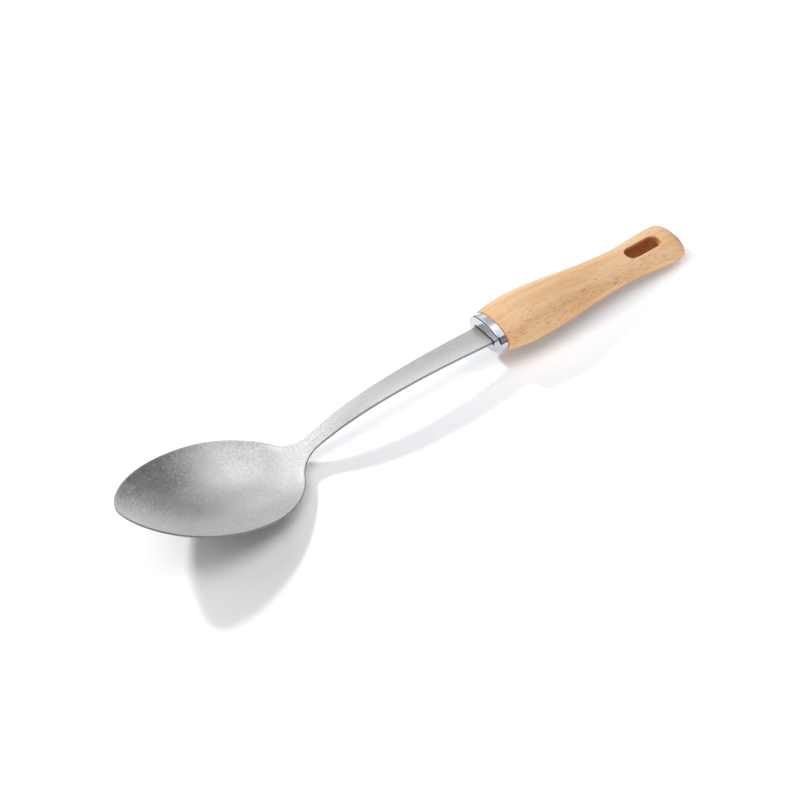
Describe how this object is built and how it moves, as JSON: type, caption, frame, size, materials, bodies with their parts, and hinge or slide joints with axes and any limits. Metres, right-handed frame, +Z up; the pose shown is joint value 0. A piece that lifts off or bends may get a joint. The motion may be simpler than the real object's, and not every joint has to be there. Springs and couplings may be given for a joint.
{
  "type": "sauce ladle",
  "caption": "Spoon-shaped sauce ladle with an egg-shaped steel bowl, a flat arched shank, a polished oval ferrule and a shaped beech handle with a hanging slot.",
  "frame": {"origin": "middle of the overall length and width, on the table that the ladle lies on", "axes": "+X along the ladle from the bowl's tip to the handle's end, +Z up from the table, bowl open upwards"},
  "size_m": [0.3193, 0.0598, 0.0343],
  "materials": {
    "blade_steel": "stainless steel, tumbled to a fine grey matt with a faint sparkle",
    "ferrule_steel": "polished steel",
    "beech": "smooth sanded and oiled beech",
    "resin": "cured casting resin, hidden"
  },
  "bodies": {
    "root": {"spoon_blade": "blade_steel", "ferrule": "ferrule_steel", "beech_handle": "beech", "tang_bond": "resin"}
  },
  "joints": []
}
